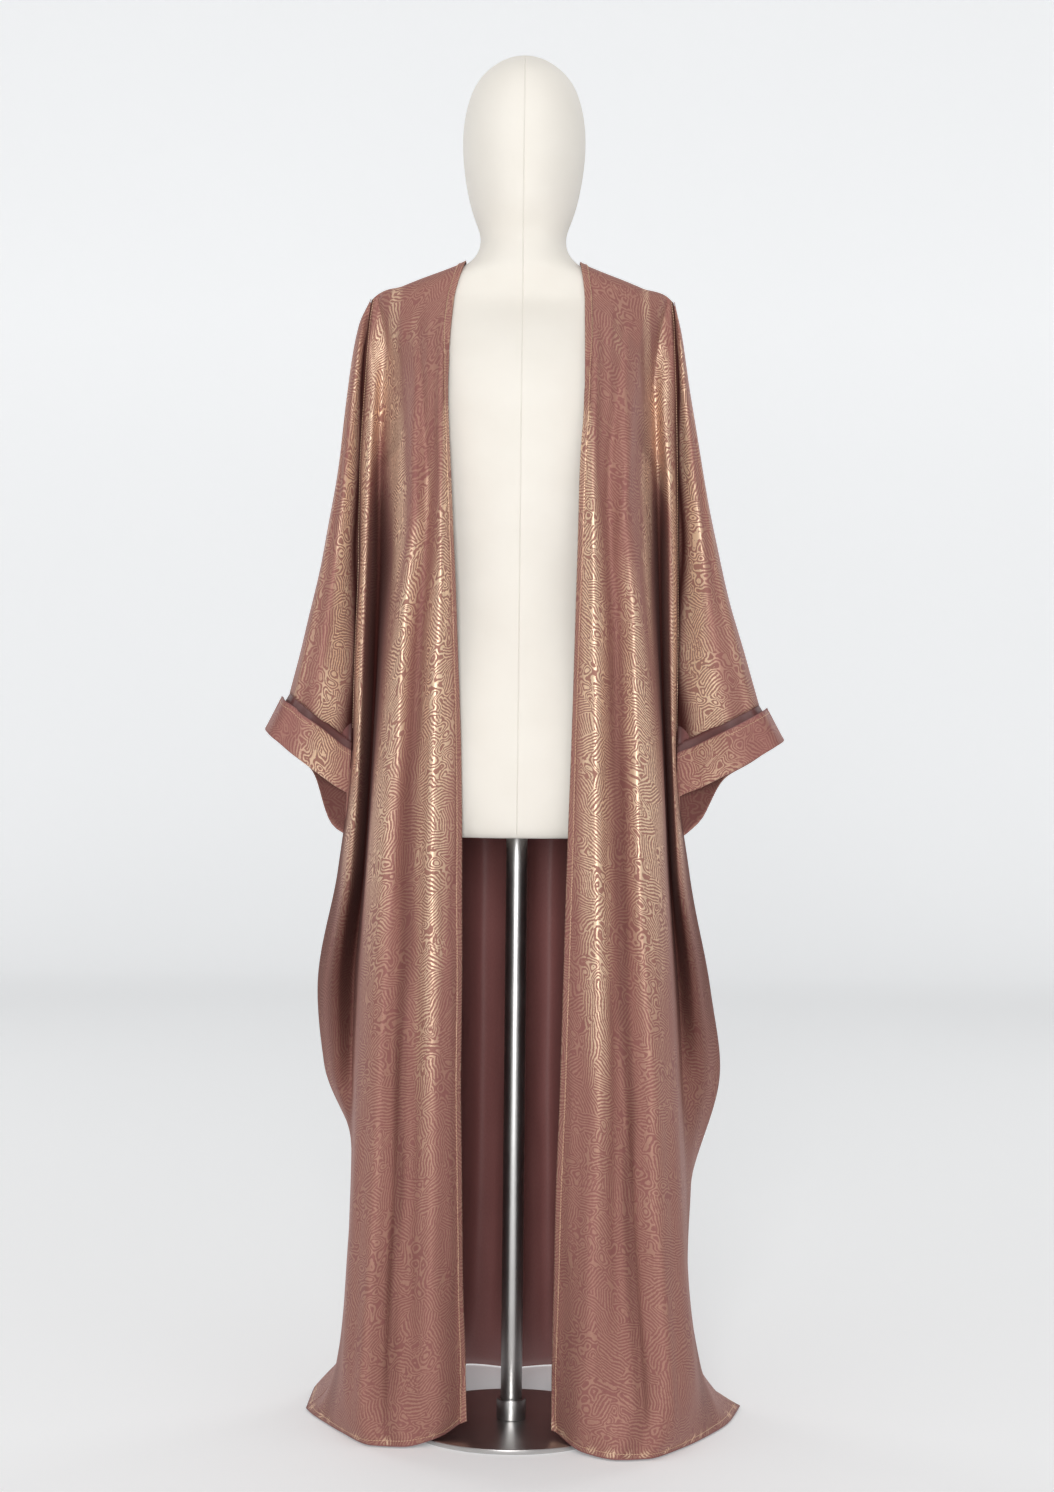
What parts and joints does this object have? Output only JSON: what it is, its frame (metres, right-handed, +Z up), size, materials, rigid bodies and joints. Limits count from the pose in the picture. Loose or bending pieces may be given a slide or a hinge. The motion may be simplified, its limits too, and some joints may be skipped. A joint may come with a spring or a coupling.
{
  "type": "abaya on dress form",
  "caption": "Open-front abaya in dusty rose and gold figured satin, worn by a limbless dress form with a plain egg head on a round steel stand.",
  "frame": {"origin": "centre of the round base's underside, on the floor", "axes": "+Z up, -Y out of the open front, +X towards the wearer's left hand"},
  "size_m": [0.6622, 0.4452, 1.735],
  "materials": {
    "satin": "dusty rose satin with a gold figured weave",
    "canvas": "cream jersey over the form",
    "steel": "brushed"
  },
  "bodies": {
    "root": {"front_right": "satin", "front_left": "satin", "back_panel": "satin", "sleeve_right": "satin", "sleeve_left": "satin", "cuff_right": "satin", "cuff_left": "satin", "edge_band_right": "satin", "edge_band_left": "satin", "neck_band": "satin", "form_body": "canvas", "stand_base": "steel", "stand_collar": "steel", "stand_post": "steel"}
  },
  "joints": []
}
